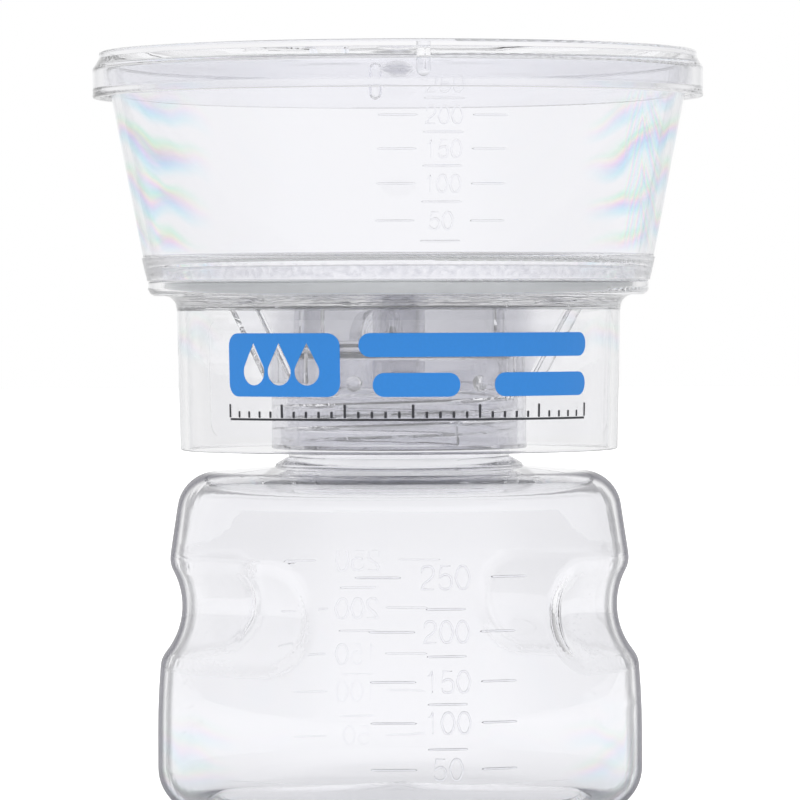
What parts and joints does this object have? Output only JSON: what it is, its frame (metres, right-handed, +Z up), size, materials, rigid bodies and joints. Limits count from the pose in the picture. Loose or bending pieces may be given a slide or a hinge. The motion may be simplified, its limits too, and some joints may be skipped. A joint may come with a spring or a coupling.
{
  "type": "vacuum filtration unit",
  "caption": "Clear disposable vacuum filtration unit: lidded sample funnel on a filter base with a side hose barb, screwed onto a receiver bottle with moulded finger grips.",
  "frame": {"origin": "on the unit's axis, in the plane that the bottle stands on", "axes": "+Z up along the unit's axis; -Y towards the front with the graduations and the label; +Y along the hose barb at the back; +X to the right seen from the front"},
  "size_m": [0.1158, 0.1176, 0.1442],
  "materials": {
    "clear_bottle": "gloss",
    "clear_base": "gloss",
    "clear_funnel": "gloss",
    "clear_lid": "gloss",
    "clear_film": "satin",
    "membrane_white": "matte",
    "grid_white": "satin",
    "silicone": "matte",
    "plug_fibre": "matte"
  },
  "bodies": {
    "receiver": {"receiver_bottle": "clear_bottle"},
    "seal": {"neck_gasket": "silicone"},
    "filter": {"filter_base": "clear_base", "hose_barb": "clear_base", "port_plug": "plug_fibre", "support_grid": "grid_white", "membrane": "membrane_white", "funnel": "clear_funnel", "scale_label": "clear_film"},
    "lid": {"lid": "clear_lid"}
  },
  "joints": [
    {"name": "neck_rise", "type": "slide", "parent": "receiver", "child": "seal", "axis": [0, 0, 1], "range_m": [0, 0.0105]},
    {"name": "unscrew", "type": "hinge", "parent": "seal", "child": "filter", "pos_m": [0, 0, 0.0862], "axis": [0, 0, 1], "range_deg": [0, 900]},
    {"name": "lid_lift", "type": "slide", "parent": "filter", "child": "lid", "axis": [0, 0, 1], "range_m": [0, 0.06]}
  ],
  "couplings": [
    {"joint": "neck_rise", "follows": "unscrew", "m_per_rad": 0.00066845}
  ]
}
